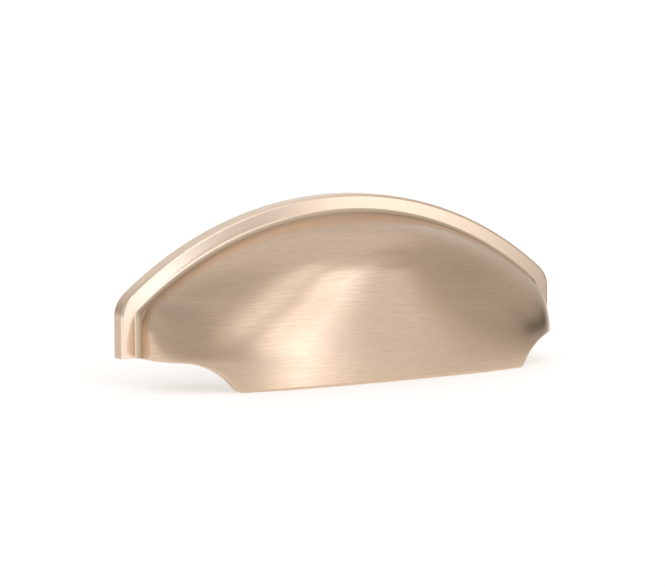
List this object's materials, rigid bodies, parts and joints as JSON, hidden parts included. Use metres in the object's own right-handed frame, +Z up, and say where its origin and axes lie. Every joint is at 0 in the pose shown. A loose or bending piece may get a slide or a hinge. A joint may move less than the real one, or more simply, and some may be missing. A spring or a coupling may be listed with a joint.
{
  "type": "cup pull",
  "caption": "Cup pull with an arched flat rim, a hollow cup whose front lip hangs below the rim between scalloped sides, and tapped bosses inside for screws from behind.",
  "frame": {"origin": "on the flat back plane of the rim, midway between the two screw holes", "axes": "+X across the drawer front to the right, +Y into the drawer, so the cup stands out along -Y, +Z up"},
  "size_m": [0.095, 0.0205, 0.0338],
  "materials": {
    "satin_nickel": "satin, brushed across, warm champagne nickel"
  },
  "bodies": {
    "root": {"cup_pull": "satin_nickel"}
  },
  "joints": []
}
